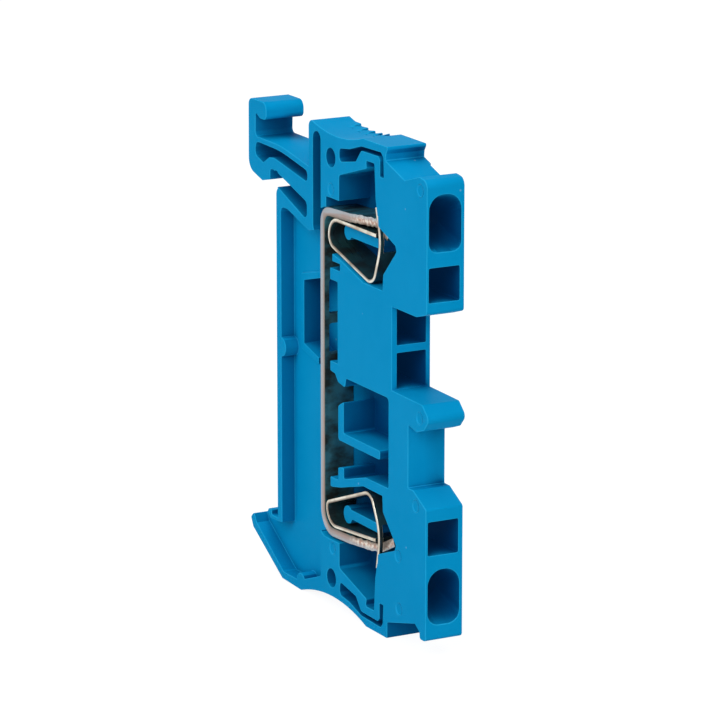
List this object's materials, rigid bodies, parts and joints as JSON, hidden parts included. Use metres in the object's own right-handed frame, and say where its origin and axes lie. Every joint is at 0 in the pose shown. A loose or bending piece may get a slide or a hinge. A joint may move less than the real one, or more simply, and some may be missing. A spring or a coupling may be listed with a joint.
{
  "type": "spring_terminal_block",
  "caption": "Narrow blue spring clamp terminal block for a mounting rail, open on one side to its current bar and looped cage springs.",
  "frame": {"origin": "on the rail seat, midway across the rail and midway through the block's width", "axes": "+Y points to the rail, so the wire entries face -Y; +Z runs across the rail towards the spring foot's end; the housing's open side faces -X"},
  "size_m": [0.0042, 0.0366, 0.048],
  "materials": {
    "housing_blue": "satin polyamide",
    "tinned_copper": "tinned copper, punched edges",
    "spring_steel": "bright rolled strip"
  },
  "bodies": {
    "block": {"housing": "housing_blue", "current_bar": "tinned_copper"},
    "upper_cage": {"upper_cage_spring": "spring_steel"},
    "lower_cage": {"lower_cage_spring": "spring_steel"}
  },
  "joints": [
    {"name": "upper_clamp_flex", "type": "hinge", "parent": "block", "child": "upper_cage", "pos_m": [-0.00023, -0.01223, 0.01328], "axis": [-1, 0, 0], "range_deg": [0, 9], "stiffness_Nm_per_rad": 0.1, "deforming": ["upper_cage_spring"]},
    {"name": "lower_clamp_flex", "type": "hinge", "parent": "block", "child": "lower_cage", "pos_m": [-0.00023, -0.01173, -0.01403], "axis": [1, 0, 0], "range_deg": [0, 9], "stiffness_Nm_per_rad": 0.1, "deforming": ["lower_cage_spring"]}
  ]
}
